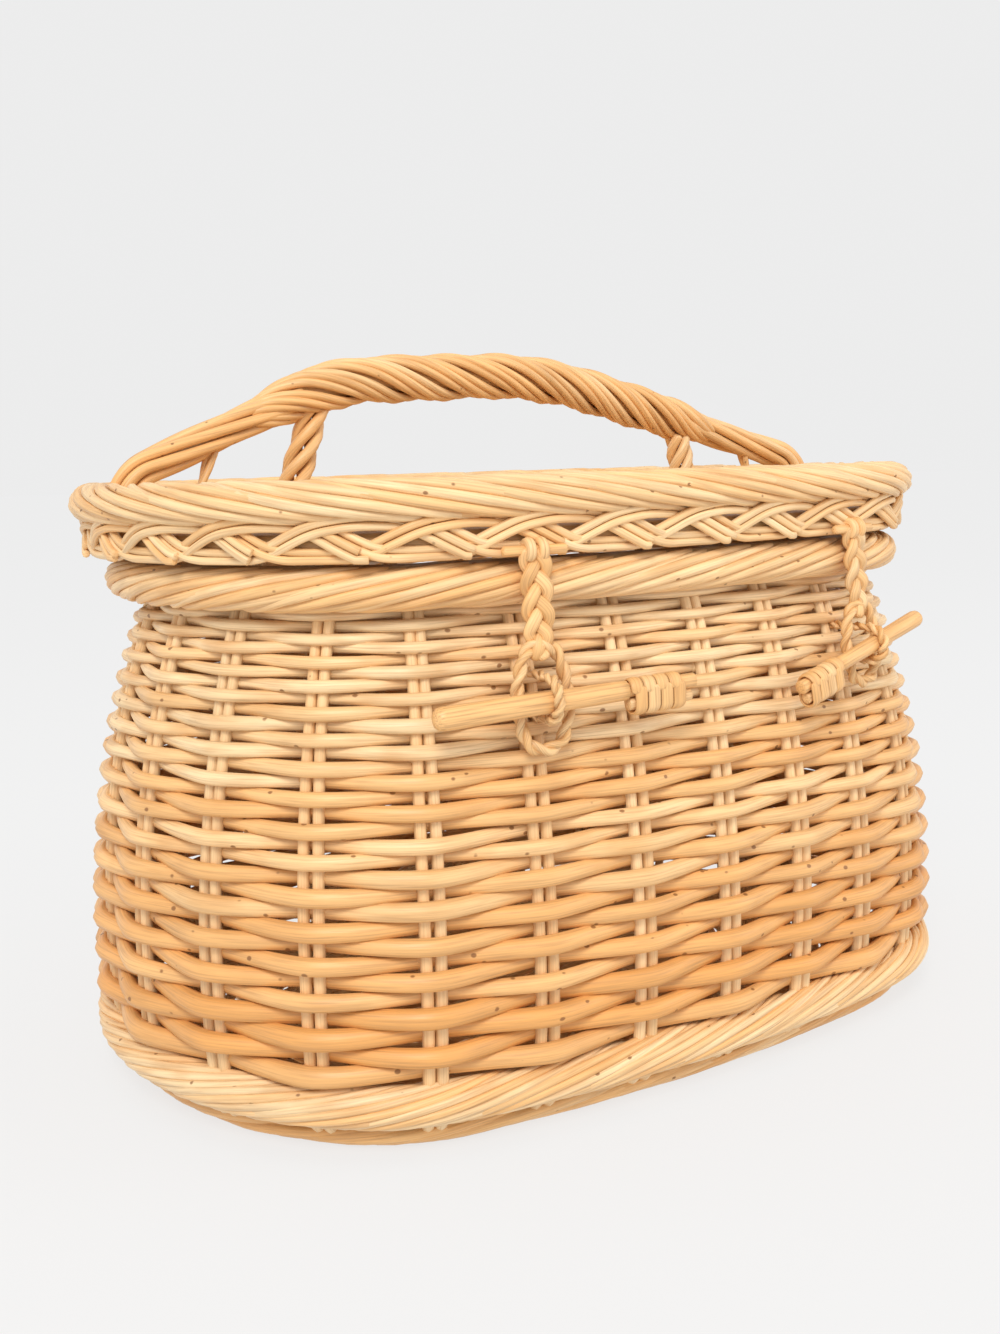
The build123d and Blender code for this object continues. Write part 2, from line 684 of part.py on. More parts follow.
def build_lid(core_room, leg_room, foot_room):
    """Sticks, weave and the two borders of the lid, with the hinge rods and hasp pins."""
    shift = Pos(0, LID_SHIFT, 0)
    pierced, threaded, room = stick_frame(
        LID_STICKS,
        LID_STICK_STEP,
        LID_STICK_RADIUS,
        (-LID_LONG_SPREAD, LID_LONG_SPREAD),
        LID_LONG_RADIUS,
        STICK_INSET,
        PANEL_BASE + LID_PANEL_THICKNESS / 2,
        LID_SHIFT,
    )
    write("lid_cross_sticks", *pierced)
    write("lid_long_sticks", *threaded)
    panel = shift * oval_plate(PLAIT_OUT - PLAIT_WIDTH, PANEL_BASE, LID_PANEL_THICKNESS)
    write("lid_weave", cut(panel, *room, core_room, *foot_room))
    rope_section = block_section(ROPE_OUT, ROPE_WIDTH, ROPE_BASE, ROPE_HEIGHT, ROPE_CORNER)
    write("lid_rope_border", cut(shift * ring(rope_section), leg_room, *foot_room))

    pin_room = []
    for side, spec in CLOSURES.items():
        frame = hasp_frame(spec["pair"])
        pin_radius = HASP_PIN_RADIUS + HASP_PIN_CLEARANCE
        pocket = Box(BRAID_WIDTH + 2, 4 * KNUCKLE_RADIUS, 2 * (KNUCKLE_RADIUS + KNUCKLE_ROOM))
        write(side + "_hasp_pin", frame * Rot(0, 90, 0) * Cylinder(HASP_PIN_RADIUS, HASP_PIN_LENGTH))
        pin_room.append(frame * Rot(0, 90, 0) * Cylinder(pin_radius, HASP_PIN_LENGTH + 1))
        pin_room.append(frame * Pos(0, -KNUCKLE_RADIUS, 0) * pocket)

    turn_radius = HINGE_ROD_RADIUS + 2 * (HINGE_LOOP_WIRE + HINGE_CLEARANCE)
    turn_width = 2 * HINGE_LOOP_WIRE + 4 * HINGE_CLEARANCE
    turn_room = at_hinges(Cylinder(turn_radius, turn_width))
    rod_seat = at_hinges(Cylinder(HINGE_ROD_RADIUS + STICK_CLEARANCE, HINGE_ROD_LENGTH + 1))
    plait_section = block_section(PLAIT_OUT, PLAIT_WIDTH, LID_BASE, PLAIT_HEIGHT, PLAIT_CORNER)
    plait = shift * ring(plait_section)
    write("lid_plait_border", cut(plait, *pin_room, *turn_room, *rod_seat, core_room))
    hinge_rods = at_hinges(Cylinder(HINGE_ROD_RADIUS, HINGE_ROD_LENGTH))
    for name, hinge_rod in zip(("left", "right"), hinge_rods):
        write(name + "_hinge_rod", hinge_rod)


def build_closures():
    """Hasps, staples and pegs."""
    for side, spec in CLOSURES.items():
        hasp = hasp_frame(spec["pair"])
        peg = peg_frame(spec)
        braid = hasp_braid(spec)
        write(side + "_hasp_braid", hasp * braid)
        write(side + "_hasp_eye", hasp * cut(hasp_eye(spec), braid))
        write(side + "_staple", wall_frame(spec["pair"]) * staple(spec))
        write(side + "_peg", peg * peg_shaft(spec))
        write(side + "_peg_splint", peg * peg_splint(spec))
        write(side + "_peg_binding", peg * peg_binding(spec))


stake_channels = channels()
build_base(stake_channels)
build_wall(stake_channels)
build_rim(stake_channels)
build_lid(*build_handle())
build_closures()
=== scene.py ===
import json
import math

import bpy
import numpy as np
from mathutils import Matrix, Vector


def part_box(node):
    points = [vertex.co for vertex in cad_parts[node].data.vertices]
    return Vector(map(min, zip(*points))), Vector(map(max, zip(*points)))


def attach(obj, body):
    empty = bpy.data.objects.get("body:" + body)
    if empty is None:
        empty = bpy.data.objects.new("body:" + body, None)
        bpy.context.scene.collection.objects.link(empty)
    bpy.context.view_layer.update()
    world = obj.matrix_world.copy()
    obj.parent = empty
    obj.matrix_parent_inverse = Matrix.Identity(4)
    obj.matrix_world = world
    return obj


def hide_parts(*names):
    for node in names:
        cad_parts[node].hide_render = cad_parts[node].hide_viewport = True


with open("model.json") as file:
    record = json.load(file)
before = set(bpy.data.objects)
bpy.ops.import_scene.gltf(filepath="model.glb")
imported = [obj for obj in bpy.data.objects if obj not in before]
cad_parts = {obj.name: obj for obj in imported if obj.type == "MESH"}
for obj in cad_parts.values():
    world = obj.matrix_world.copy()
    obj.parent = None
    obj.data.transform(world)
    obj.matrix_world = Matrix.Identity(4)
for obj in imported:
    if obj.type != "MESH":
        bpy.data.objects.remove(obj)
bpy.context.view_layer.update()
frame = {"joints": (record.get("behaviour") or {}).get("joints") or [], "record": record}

RECORD = frame["record"]
RNG = np.random.default_rng(41)
MM = 0.001


def level(node, top):
    """Lowest or highest z of a CAD node, in millimetres."""
    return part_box(node)[1 if top else 0].z / MM


# ------------------------------------------------------------------ sizes, in millimetres

HALF_LENGTH = 188.0
HALF_WIDTH = 130.0
CORNER_RADIUS = 83.0
END_TURN = math.radians(44.0)
SIDE_TURN = math.radians(80.0)
BELLY_HEIGHT = 66.0
BARREL_RADIUS = 370.0
WALE_BASE = level("upsett_wale", False)
SIDING_BASE = level("siding_lower", False)
SIDING_BREAKS = [level(n, True) for n in ("siding_lower", "siding_belly", "siding_upper")]
NECK_HEIGHT = level("body_rim_border", False)
RIM_TOP = level("body_rim_border", True)
WALL_HALF_LOW = 8.0
WALL_HALF_HIGH = 5.0
PAIRS = 26
PAIR_SPACING = 5.5
LID_BASE = level("lid_plait_border", False)
ROPE_BASE = level("lid_rope_border", False)
LID_TOP = level("lid_rope_border", True)
PANEL_BASE = level("lid_weave", False)
PANEL_TOP = level("lid_weave", True)
BASE_LIFT = level("base_weave", False)
BASE_TOP = level("base_weave", True)
LID_SHIFT = 5.5
RIGHT_FLARE = ((40, 190, 210), (4.5, 0.0, -2.0))    # heights, and how much further out the right end is
ROWS = 31
ROW_LOW = 3.42
ROW_HIGH = 1.88
ROW_PLUMP = 1.13
STAKE_FOOT_RADIUS = 2.4
STAKE_BEND = 9.0
STAKE_TAIL = 25.0
HANDLE_FOOT = 181.0
EYE_HALF_WIDTH = 13.0
EYE_WIRE = 2.8
SPLINT_RADIUS = 2.25
PEG_TAIL_RADIUS = 2.7


# ------------------------------------------------------------------ outline

def outline_arcs():
    """Arcs of the oval outline: first and last angle, centre and radius of each."""
    c1, s1 = math.cos(END_TURN), math.sin(END_TURN)
    c2, s2 = math.cos(SIDE_TURN), math.sin(SIDE_TURN)
    along = HALF_LENGTH - CORNER_RADIUS * (c1 - c2)
    across = HALF_WIDTH - CORNER_RADIUS * (s2 - s1)
    divisor = (1 - c1) * (1 - s2) - c2 * s1
    end_r = (along * (1 - s2) - c2 * across) / divisor
    side_r = ((1 - c1) * across - s1 * along) / divisor
    ex = HALF_LENGTH - end_r
    cx = ex + (end_r - CORNER_RADIUS) * c1
    cy = (end_r - CORNER_RADIUS) * s1
    sy = HALF_WIDTH - side_r
    h = math.pi
    return [
        (-h, END_TURN - h, (-ex, 0), end_r),
        (END_TURN - h, SIDE_TURN - h, (-cx, -cy), CORNER_RADIUS),
        (SIDE_TURN - h, -SIDE_TURN, (0, -sy), side_r),
        (-SIDE_TURN, -END_TURN, (cx, -cy), CORNER_RADIUS),
        (-END_TURN, END_TURN, (ex, 0), end_r),
        (END_TURN, SIDE_TURN, (cx, cy), CORNER_RADIUS),
        (SIDE_TURN, h - SIDE_TURN, (0, sy), side_r),
        (h - SIDE_TURN, h - END_TURN, (-cx, cy), CORNER_RADIUS),
        (h - END_TURN, h, (-ex, 0), end_r),
    ]


ARCS = outline_arcs()
LENGTHS = [(b - a) * r for a, b, c, r in ARCS]
PERIMETER = sum(LENGTHS)
STARTS = np.concatenate([[0.0], np.cumsum(LENGTHS)])


def outline(s):
    """Points of the outline, at distances from the left tip, and the angles of its outward normals."""
    s = np.mod(np.asarray(s, float), PERIMETER)
    k = np.clip(np.searchsorted(STARTS, s, side="right") - 1, 0, len(ARCS) - 1)
    start = np.array([a[0] for a in ARCS])[k]
    radius = np.array([a[3] for a in ARCS])[k]
    cx = np.array([a[2][0] for a in ARCS])[k]
    cy = np.array([a[2][1] for a in ARCS])[k]
    angle = start + (s - STARTS[k]) / radius
    return np.stack([cx + radius * np.cos(angle), cy + radius * np.sin(angle)], -1), angle


def wall(s, out, z, shift=0.0):
    """World points at distance s round the outline, offset outwards, at height z; and the normals."""
    s, out, z = np.broadcast_arrays(np.asarray(s, float), out, z)
    point, angle = outline(s)
    out = out + np.clip(np.cos(angle), 0, 1) ** 2 * np.interp(z, *RIGHT_FLARE)
    x = point[..., 0] + np.cos(angle) * out
    y = point[..., 1] + np.sin(angle) * out + shift
    normal = np.stack([np.cos(angle), np.sin(angle), 0 * x], -1)
    return np.stack([x, y, z], -1), normal


def barrel(z):
    """How far the middle of the wall stands out from the outline at height z."""
    return np.sqrt(BARREL_RADIUS ** 2 - (np.asarray(z, float) - BELLY_HEIGHT) ** 2) - BARREL_RADIUS


def wall_half(z):
    """Half the thickness of the woven wall at height z."""
    share = (np.asarray(z, float) - SIDING_BASE) / (NECK_HEIGHT - SIDING_BASE)
    return WALL_HALF_LOW + (WALL_HALF_HIGH - WALL_HALF_LOW) * share


def stake_distance(pair):
    """Distance round the outline of a pair of stakes; the pairs are closer at the ends."""
    turn = 4 * np.pi * (pair - 7.25) / PAIRS
    return -15.4 + pair * PERIMETER / PAIRS + 5.3 * np.cos(turn)


# ------------------------------------------------------------------ rods

PALE = np.array([0.91, 0.66, 0.37])
MIDDLE = np.array([0.86, 0.51, 0.21])
ORANGE = np.array([0.76, 0.37, 0.11])


def shade(k, spread=0.13):
    """Colour of one rod: 0 is pale peeled willow, 1 is the orange tan of thick butts."""
    k = float(np.clip(k + RNG.normal(0, spread), 0, 1))
    colour = PALE + (MIDDLE - PALE) * min(1, 2 * k) + (ORANGE - MIDDLE) * max(0, 2 * k - 1)
    return colour * RNG.uniform(0.93, 1.05)


class Rods:
    """Many round or flat rods gathered into one mesh."""

    def __init__(self, sides=8):
        self.sides = sides
        self.points, self.faces, self.tints, self.lays = [], [], [], []
        self.count = 0

    def add(self, path, radius, ref, tint, flat=1.0, blunt=False):
        """One rod along a path; flat scales it along ref, and blunt gives it cut ends."""
        path = np.asarray(path, float)
        radius = np.broadcast_to(np.asarray(radius, float), (len(path),)).copy()
        ref = np.broadcast_to(np.asarray(ref, float), path.shape)
        tangent = np.gradient(path, axis=0)
        tangent /= np.maximum(np.linalg.norm(tangent, axis=1, keepdims=True), 1e-9)
        normal = ref - (ref * tangent).sum(1, keepdims=True) * tangent
        normal /= np.maximum(np.linalg.norm(normal, axis=1, keepdims=True), 1e-9)
        steps = [(0.10, 0.86), (0.13, 0.3)] if blunt else [(0.35, 0.8), (0.5, 0.3)]
        head = [path[0] - tangent[0] * radius[0] * e for e, k in reversed(steps)]
        foot = [path[-1] + tangent[-1] * radius[-1] * e for e, k in steps]
        grow = [k for e, k in steps]
        rings = np.concatenate([head, path, foot])
        radii = np.concatenate([radius[0] * np.array(grow[::-1]), radius, radius[-1] * np.array(grow)])
        idx = np.clip(np.arange(len(rings)) - 2, 0, len(path) - 1)
        normal = normal[idx]
        binormal = np.cross(tangent[idx], normal)
        along = np.concatenate([[0], np.cumsum(np.linalg.norm(np.diff(rings, axis=0), axis=1))])
        turn = np.arange(self.sides) * 2 * np.pi / self.sides
        a, b = np.cos(turn)[None, :, None], np.sin(turn)[None, :, None]
        offset = radii[:, None, None] * (a * normal[:, None] * flat + b * binormal[:, None])
        self.points.append((rings[:, None] + offset).reshape(-1, 3))
        lay = np.zeros((len(rings), self.sides, 3))
        lay[..., 0] = along[:, None] + RNG.uniform(0, 4000)
        lay[..., 1] = (radii[:, None, None] * a)[..., 0]
        lay[..., 2] = (radii[:, None, None] * b)[..., 0]
        self.lays.append(lay.reshape(-1, 3) * MM)
        self.tints.append(np.tile(tint, (len(rings) * self.sides, 1)))
        n, m = len(rings), self.sides
        ring = np.arange(n - 1)[:, None] * m + self.count
        j = np.arange(m)[None]
        k = (j + 1) % m
        quads = np.stack([ring + j, ring + k, ring + k + m, ring + j + m], -1).reshape(-1, 4)
        self.faces.extend(quads.tolist())
        self.faces.append([self.count + i for i in reversed(range(m))])
        self.faces.append([self.count + (n - 1) * m + i for i in range(m)])
        self.count += n * m

    def build(self, name, material):
        points = np.concatenate(self.points) * MM
        mesh = bpy.data.meshes.new(name)
        mesh.from_pydata(points.tolist(), [], self.faces)
        mesh.polygons.foreach_set("use_smooth", np.ones(len(mesh.polygons), bool))
        tints = np.concatenate([np.concatenate(self.tints), np.ones((self.count, 1))], 1)
        layer = mesh.attributes.new("tint", "FLOAT_COLOR", "POINT")
        layer.data.foreach_set("color", tints.astype(np.float32).ravel())
        layer = mesh.attributes.new("lay", "FLOAT_VECTOR", "POINT")
        layer.data.foreach_set("vector", np.concatenate(self.lays).astype(np.float32).ravel())
        mesh.materials.append(material)
        mesh.update()
        piece = bpy.data.objects.new(name, mesh)
        bpy.context.scene.collection.objects.link(piece)
        return piece


PARTS = {}


def rods(node, sides=8):
    if node not in PARTS:
        PARTS[node] = Rods(sides)
    return PARTS[node]


# ------------------------------------------------------------------ woven wall

PAIR_S = stake_distance(np.arange(-3, PAIRS + 6))
PAIR_INDEX = np.arange(-3, PAIRS + 6)


def siding_row(index, z, radius):
    """One row of weave, as two rods that join on the inside of the wall."""
    band = sum(z > b for b in SIDING_BREAKS)
    node = ("siding_lower", "siding_belly", "siding_upper", "siding_neck")[band]
    parity = index % 2
    share = (z - SIDING_BASE) / (NECK_HEIGHT - SIDING_BASE)
    first = 12 + parity + 2 * int(RNG.integers(0, 5))
    cuts = [first, first + 2 * int(RNG.integers(5, 9)), first + PAIRS]
    for start, end in zip(cuts[:-1], cuts[1:]):
        phase = np.linspace(start - 0.12, end + 0.12, int((end - start) * 14))
        s = np.interp(np.mod(phase, PAIRS), PAIR_INDEX, PAIR_S)
        wave = np.cos(np.pi * (phase - parity))
        taper = np.linspace(1.04, 0.95, len(phase))
        thick = radius * RNG.uniform(0.94, 1.07) * taper * (0.95 + 0.07 * wave ** 2)
        reach = wall_half(z) - radius * 0.94
        bow = np.arcsin(0.95 * wave) / math.asin(0.95)
        height = z + 0.35 * np.sin(phase * 1.7 + RNG.uniform(0, 6)) + RNG.normal(0, 0.12)
        path, normal = wall(s, barrel(z) - bow * reach, height)
        grade = np.clip(1.02 - 1.15 * share, 0.06, 0.95)
        rods(node).add(path, thick, normal, shade(grade, 0.15))


def siding():
    """Rows that get thinner upwards and together fill the wall."""
    span = NECK_HEIGHT - SIDING_BASE
    radii = np.linspace(ROW_LOW, ROW_HIGH, ROWS)
    radii *= span / (2 * radii.sum())
    z = SIDING_BASE
    for index, radius in enumerate(radii):
        siding_row(index, z + radius, radius * ROW_PLUMP)
        z += 2 * radius


def stake_node(pair):
    _, angle = outline(stake_distance(pair))
    if abs(math.cos(angle)) > math.cos(math.radians(59.0)):
        return "side_stakes_right_end" if math.cos(angle) > 0 else "side_stakes_left_end"
    return "side_stakes_back" if math.sin(angle) > 0 else "side_stakes_front"


def stakes():
    """Pairs of upright rods whose feet bend in under the wall."""
    tail_z = (BASE_LIFT + BASE_TOP) / 2
    bend = STAKE_BEND
    for pair in range(PAIRS):
        node = stake_node(pair)
        foot = float(barrel(tail_z + bend))
        t = np.linspace(0, 1, 8)
        turn = np.linspace(0, np.pi / 2, 8)
        rise = np.linspace(tail_z + bend + 4, NECK_HEIGHT + 7, 26)
        z = np.concatenate([tail_z + 0 * t, tail_z + bend - bend * np.cos(turn[1:]), rise])
        out = np.concatenate([foot - bend - STAKE_TAIL * (1 - t), foot - bend + bend * np.sin(turn[1:]),
                              barrel(rise)])
        for side in (-1, 1):
            wander = 0.25 * np.sin(z / 21 + RNG.uniform(0, 6))
            s = stake_distance(pair) + side * (PAIR_SPACING / 2 - 0.1) + wander
            path, normal = wall(s, out, z)
            ref = np.stack([-normal[:, 1], normal[:, 0], 0 * z], -1)
            radius = STAKE_FOOT_RADIUS - 0.25 * (z / NECK_HEIGHT)
            rods(node).add(path, radius, ref, shade(0.12, 0.08))


# ------------------------------------------------------------------ borders

def filler(node, out, z, half_out, half_z, shift, k=0.75):
    """Hidden inner rods of a border, as one flat-sided coil."""
    s = np.linspace(0, PERIMETER, 240)
    path, normal = wall(s, out, z, shift)
    # The coil's colour is darkened to 0.62 of the rod colour: painted shade for where it shows between
    # the border rods.
    rods(node).add(path, half_z, normal, shade(k, 0) * 0.62, flat=half_out / half_z)


def strokes(node, out, z, half_out, half_z, count, length, group, radius, k, slope=1, shift=0.0,
            turn=155, spread=0.12, even=0.7, fan=0.42, bunch=4.0, filled=True, sink=0.24):
    """Bunches of border rods that come from inside, cross the outer face on a slant and go back in."""
    step = PERIMETER / count
    v = np.linspace(-1, 1, 26)
    sweep = math.radians(turn) * (even * v + (1 - even) * v ** 3)
    open_out = np.clip(1.25 * (1 - np.abs(v) ** 2.5), 0, 1)
    dive = 1.01 - sink * np.clip(v, 0, 1) ** 1.2 - 0.12 * np.clip(-v, 0, 1) ** 4
    for index in range(count):
        jolt = RNG.uniform(-0.04, 0.04) * step
        for place in range(group):
            order = place - (group - 1) / 2
            angle = slope * (sweep - order * fan * (0.25 + 0.75 * open_out))
            tuck = dive + 0.03 * (1 - abs(order)) + RNG.uniform(-0.012, 0.012)
            s = index * step + jolt + order * bunch + length * 0.86 * v * RNG.uniform(0.98, 1.02)
            d = out + half_out * np.cos(angle) * tuck
            h = z + half_z * np.sin(angle) * tuck
            path, _ = wall(s, d, h, shift)
            centre, _ = wall(s, out - half_out * 0.25 + 0 * s, z + 0 * s, shift)
            thick = radius * RNG.uniform(0.94, 1.06) * (1.08 - 0.16 * (v + 1) / 2)
            rods(node).add(path, thick, path - centre, shade(k, spread))
    if filled:
        filler(node, out, z, half_out - radius * 1.5, half_z - radius, shift, k)


def plait():
    """Plait round the lid's edge: each pair of rods arches over the next and ends in two cut ends."""
    units = 28
    unit = PERIMETER / units
    knots_t = [0, 0.25, 0.5, 0.75, 1.1, 1.45, 1.7, 1.95, 2.3, 2.6, 2.8, 2.95, 3.2, 3.46]
    knots_v = [0.95, 0.62, 0.27, 0.17, 0.15, 0.24, 0.56, 0.84, 0.98, 0.97, 0.90, 0.76, 0.38, 0.04]
    knots_d = [-2.6, 0.5, 0.6, -0.8, -1.6, -0.8, 1.3, 2.6, 2.3, 0.4, -0.8, 0.2, 2.2, 2.7]
    fine = np.linspace(0, knots_t[-1], 64)

    def curve(values):
        """Values at the fine steps, with the corners rounded off."""
        raw = np.interp(fine, knots_t, values)
        padded = np.concatenate([[raw[0]] * 2, raw, [raw[-1]] * 2])
        return np.convolve(padded, np.ones(5) / 5, "valid")

    apart = 1.62
    low = LID_BASE + 0.5
    height = ROPE_BASE + 2.2 - low
    v = curve(knots_v)
    d = curve(knots_d)
    for index in range(units):
        s = (index + RNG.uniform(-0.03, 0.03)) * unit + fine * unit
        z = low + v * height
        ds, dz = np.gradient(s), np.gradient(z)
        size = np.hypot(ds, dz)
        for side in (-1, 1):
            radius = 1.60 * RNG.uniform(0.95, 1.05)
            end = 64 - int(RNG.integers(0, 3))
            height_here = np.maximum(z + ds / size * side * apart, LID_BASE + 0.1 + radius)
            path, normal = wall(s - dz / size * side * apart, 0.6 + d, height_here, LID_SHIFT)
            rods("lid_plait_border").add(path[:end], radius, normal[:end], shade(0.22, 0.12), blunt=True)
    middle = (LID_BASE + ROPE_BASE) / 2
    filler("lid_plait_border", -6.0, middle - 0.4, 5.0, 5.6, LID_SHIFT, 0.5)
    strokes("lid_plait_border", -8.6, middle, 4.2, 4.4, 56, 34, 2, 1.6, 0.25,
            shift=LID_SHIFT, turn=-100, filled=False)


def borders():
    middle = (WALE_BASE + SIDING_BASE) / 2
    strokes("base_edge_wale", -15.2, 5.6, 6.6, 3.2, 22, 104, 3, 2.15, 0.66,
            turn=165, spread=0.15, fan=0.75, bunch=6, sink=0.2)
    strokes("upsett_wale", float(barrel(middle)) + 0.8, middle, 6.4, 6.5, 26, 72, 4, 1.6, 0.26,
            spread=0.2, even=0.62, fan=0.34, bunch=3)
    strokes("body_rim_border", -13.2, (NECK_HEIGHT + RIM_TOP) / 2, 7.9, 6.7, 24, 80, 3, 2.05, 0.28,
            even=0.62, fan=0.46, bunch=3, sink=0.3)
    filler("body_rim_border", -13.6, (NECK_HEIGHT + RIM_TOP) / 2, 5.0, 8.2, 0.0, 0.28)
    strokes("lid_rope_border", -1.4, (ROPE_BASE + LID_TOP) / 2, 8.0, 6.7, 25, 80, 3, 2.02, 0.20,
            slope=-1, shift=LID_SHIFT, even=0.62, fan=0.46, sink=0.3)
    plait()


# ------------------------------------------------------------------ woven panels

PANEL_STEPS = 1200
RAYS = (-58, -30, 0, 30, 58)


def panel(weave, across, along, edge, low, high, shift, sticks, stick_step, stick_radius,
          long_places, long_radius, k):
    """Sticks crossing at right angles and rods woven round them in ovals, out to the edge."""
    z = (low + high) / 2
    crosses = (np.arange(sticks) - (sticks - 1) / 2) * stick_step
    fine = np.linspace(0, PERIMETER, PANEL_STEPS, endpoint=False)
    rim, _ = wall(fine, edge, z)
    half = crosses[-1] + stick_step * 0.55
    rows = 26
    radius = 2.1
    for row in range(rows):
        share = (row + 0.5) / (rows - 0.1)
        x, y = rim[:, 0] * (1 - 0.56 * share), rim[:, 1] * (1 - share)
        marks = []
        for place in crosses:
            flips = np.nonzero(np.sign(x - place) != np.sign(np.roll(x, -1) - place))[0]
            marks.extend(flips.tolist())
        for side in (-1, 1):
            bearing = np.arctan2(y, (x - side * half) * side)
            for ray in RAYS:
                value = bearing - math.radians(ray)
                crossed = np.sign(value) != np.sign(np.roll(value, -1))
                flips = np.nonzero(crossed & (np.abs(value) < 0.6))[0]
                marks.extend(flips.tolist())
        marks = np.array(sorted(set(marks)))
        if len(marks) % 2:
            marks = marks[:-1]
        looped = np.concatenate([[marks[-1] - PANEL_STEPS], marks, [marks[0] + PANEL_STEPS]])
        phase = np.interp(np.arange(PANEL_STEPS), looped, np.arange(-1, len(marks) + 1)) + row
        height = z + np.cos(np.pi * phase) * min(2.75, (high - low) / 2 - radius)
        keep = np.concatenate([np.arange(0, PANEL_STEPS, 4), [0]])
        path = np.stack([x, y + shift, height], -1)[keep]
        rods(weave, 6).add(path, radius, (0, 0, 1), shade(k, 0.16))
    for side in (-1, 1):
        for ray in RAYS:
            a = math.radians(ray)
            reach = 12.0
            while reach < 110:
                px, py = side * (half + reach * math.cos(a)), reach * math.sin(a)
                gap = np.min(np.hypot(rim[:, 0] - px, rim[:, 1] - py))
                if gap < 6:
                    break
                reach += 2
            path = [(side * (half + q * math.cos(a)), q * math.sin(a) + shift, z)
                    for q in np.linspace(-8, reach, 12)]
            rods(weave, 6).add(path, 2.0, (0, 0, 1), shade(0.2))
    turned = rim[::-1]
    order = np.argsort(turned[:, 0])
    for place in crosses:
        top = np.interp(abs(place), turned[order, 0], np.abs(turned[order, 1]))
        top = min(top, HALF_WIDTH) - 4
        path = [(place, q + shift, z) for q in np.linspace(-top, top, 16)]
        rods(across).add(path, stick_radius * 0.8, (0, 0, 1), shade(0.35))
    for place in long_places:
        path = [(q, place + shift, z) for q in np.linspace(-130, 130, 20)]
        rods(along).add(path, long_radius * 0.85, (0, 0, 1), shade(0.35))


# ------------------------------------------------------------------ handle

def bow_line():
    """Points along the bow of the handle, from the left foot to the right foot."""
    knee = LID_TOP + 1.5
    corners = [np.array(p) for p in (
        (-HANDLE_FOOT, PANEL_BASE), (-HANDLE_FOOT, knee), (-88.0, LID_TOP + 41.5),
        (20.0, LID_TOP + 44.5), (HANDLE_FOOT, knee), (HANDLE_FOOT, PANEL_BASE))]
    radii = (18.0, 120.0, 220.0, 18.0)
    line = [corners[0]]
    for before, corner, after, radius in zip(corners[:-2], corners[1:-1], corners[2:], radii):
        a = (before - corner) / np.linalg.norm(before - corner)
        b = (after - corner) / np.linalg.norm(after - corner)
        half = math.acos(np.clip(np.dot(a, b), -1, 1)) / 2
        reach = radius / math.tan(half)
        centre = corner + (a + b) / np.linalg.norm(a + b) * radius / math.sin(half)
        p, q = corner + a * reach - centre, corner + b * reach - centre
        first, last = math.atan2(p[1], p[0]), math.atan2(q[1], q[0])
        for angle in np.linspace(first, last, 30):
            line.append(centre + radius * np.array([math.cos(angle), math.sin(angle)]))
    line.append(corners[-1])
    line = np.array(line)
    travel = np.concatenate([[0], np.cumsum(np.hypot(*np.diff(line, axis=0).T))])
    even = np.linspace(0, travel[-1], 320)
    return even, np.stack([np.interp(even, travel, line[:, 0]), np.interp(even, travel, line[:, 1])], -1)


def around(path, angle, radius, ref):
    """Points at an angle and radius round a path, with ref the direction of angle zero."""
    path = np.asarray(path, float)
    tangent = np.gradient(path, axis=0)
    tangent /= np.linalg.norm(tangent, axis=1, keepdims=True)
    ref = np.broadcast_to(np.asarray(ref, float), path.shape)
    a = ref - (ref * tangent).sum(1, keepdims=True) * tangent
    a /= np.linalg.norm(a, axis=1, keepdims=True)
    b = np.cross(tangent, a)
    angle = np.broadcast_to(angle, (len(path),))
    radius = np.broadcast_to(radius, (len(path),))
    away = np.cos(angle)[:, None] * a + np.sin(angle)[:, None] * b
    return path + away * radius[:, None], away


def twist(node, path, strands, ring, radius, turn, k, ref):
    """Strands laid round a line like a rope."""
    path = np.asarray(path, float)
    travel = np.concatenate([[0], np.cumsum(np.linalg.norm(np.diff(path, axis=0), axis=1))])
    for index in range(strands):
        angle = 2 * np.pi * (index / strands + travel / turn)
        line, away = around(path, angle, ring, ref)
        rods(node).add(line, radius * RNG.uniform(0.95, 1.04), away, shade(k, 0.1))


def prop(foot, head, peak, steps):
    """Straight line from the lid's panel up to the bow."""
    return np.stack([np.linspace(foot, head, steps), np.full(steps, LID_SHIFT),
                     np.linspace(PANEL_BASE + 1, peak, steps)], -1)


